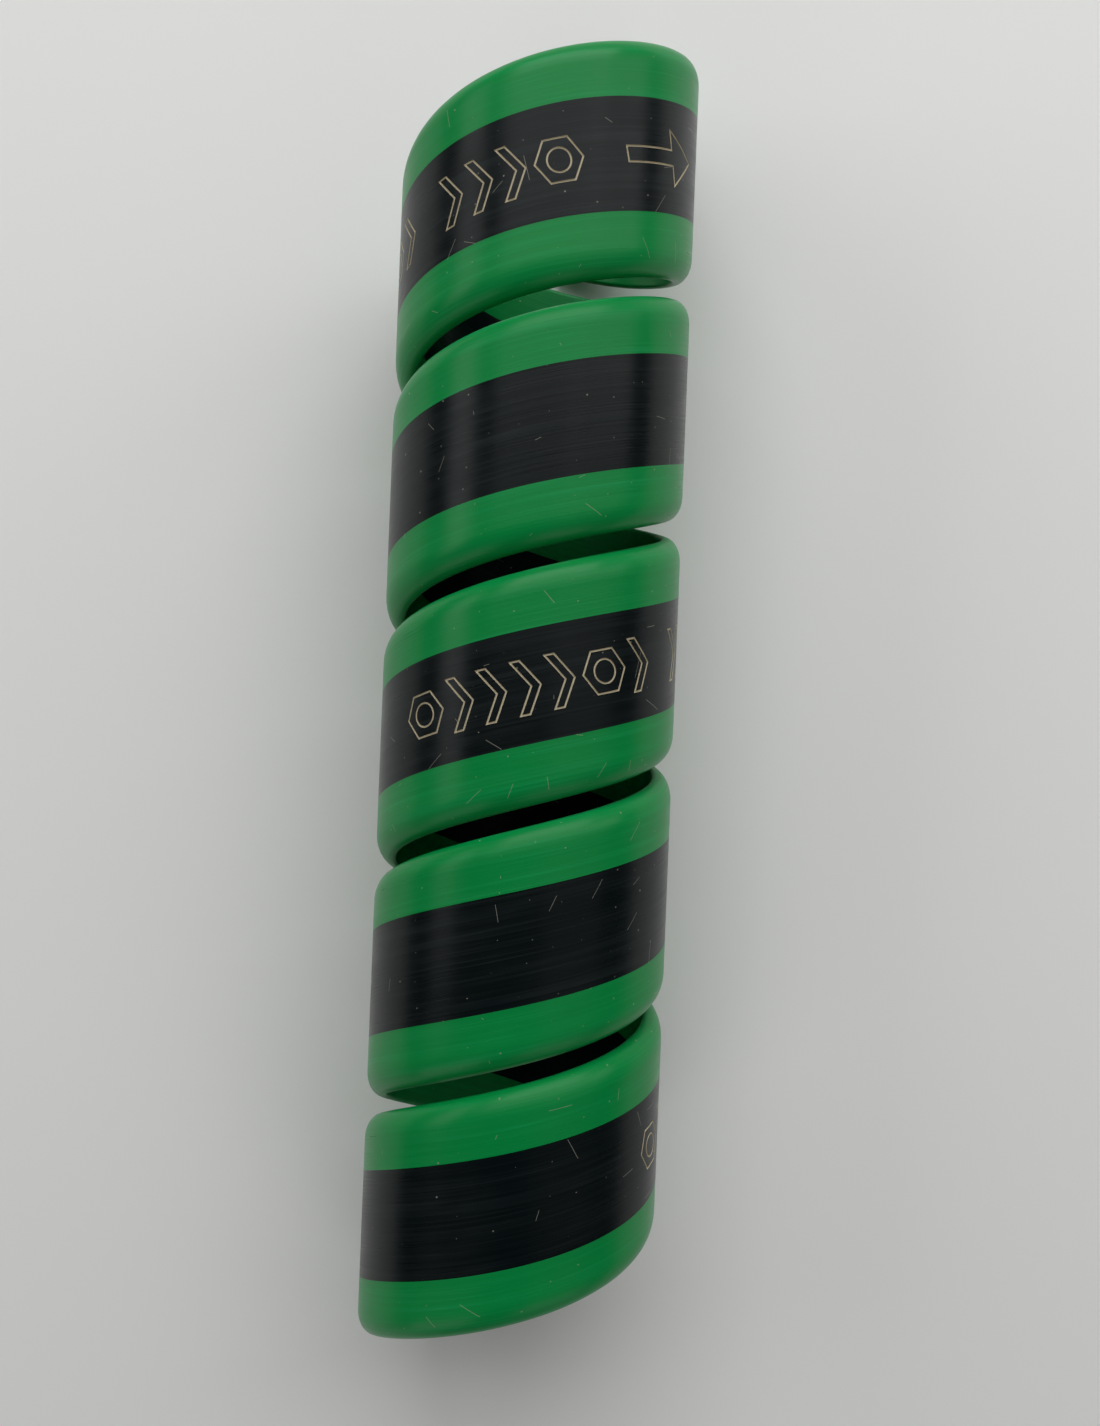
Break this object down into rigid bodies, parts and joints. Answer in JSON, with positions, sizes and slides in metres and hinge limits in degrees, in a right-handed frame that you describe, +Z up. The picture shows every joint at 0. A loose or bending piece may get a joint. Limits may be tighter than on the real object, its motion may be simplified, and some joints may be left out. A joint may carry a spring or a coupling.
{
  "type": "spiral hose guard",
  "caption": "Spiral wrap guard for a hose: a right-handed helical plastic band with rounded green edges and a black centre, open between its turns so that it can be wound on.",
  "frame": {"origin": "on the axis of the hose bore, half way between the two ends, with the coil relaxed", "axes": "+Y along the hose axis towards turn 1, +Z up from the surface that the coil lies on, +X to the right"},
  "size_m": [0.063, 0.2956, 0.063],
  "materials": {
    "edge_green": "waxy satin, fine turning lines along the band",
    "centre_black": "waxy satin, fine turning lines along the band"
  },
  "bodies": {
    "turn_1": {"leading_edge_turn_1": "edge_green", "centre_strip_turn_1": "centre_black", "trailing_edge_turn_1": "edge_green"},
    "turn_2": {"leading_edge_turn_2": "edge_green", "centre_strip_turn_2": "centre_black", "trailing_edge_turn_2": "edge_green"},
    "turn_3": {"leading_edge_turn_3": "edge_green", "centre_strip_turn_3": "centre_black", "trailing_edge_turn_3": "edge_green"},
    "turn_4": {"leading_edge_turn_4": "edge_green", "centre_strip_turn_4": "centre_black", "trailing_edge_turn_4": "edge_green"},
    "turn_5": {"leading_edge_turn_5": "edge_green", "centre_strip_turn_5": "centre_black", "trailing_edge_turn_5": "edge_green"}
  },
  "joints": [
    {"name": "open_gap_1", "type": "slide", "parent": "turn_2", "child": "turn_1", "axis": [0, 1, 0], "range_m": [-0.0035, 0.012], "stiffness_N_per_m": 2400},
    {"name": "open_gap_2", "type": "slide", "parent": "turn_3", "child": "turn_2", "axis": [0, 1, 0], "range_m": [-0.0035, 0.012], "stiffness_N_per_m": 2400},
    {"name": "open_gap_3", "type": "slide", "parent": "turn_3", "child": "turn_4", "axis": [0, -1, 0], "range_m": [-0.0035, 0.012], "stiffness_N_per_m": 2400},
    {"name": "open_gap_4", "type": "slide", "parent": "turn_4", "child": "turn_5", "axis": [0, -1, 0], "range_m": [-0.0035, 0.012], "stiffness_N_per_m": 2400}
  ]
}
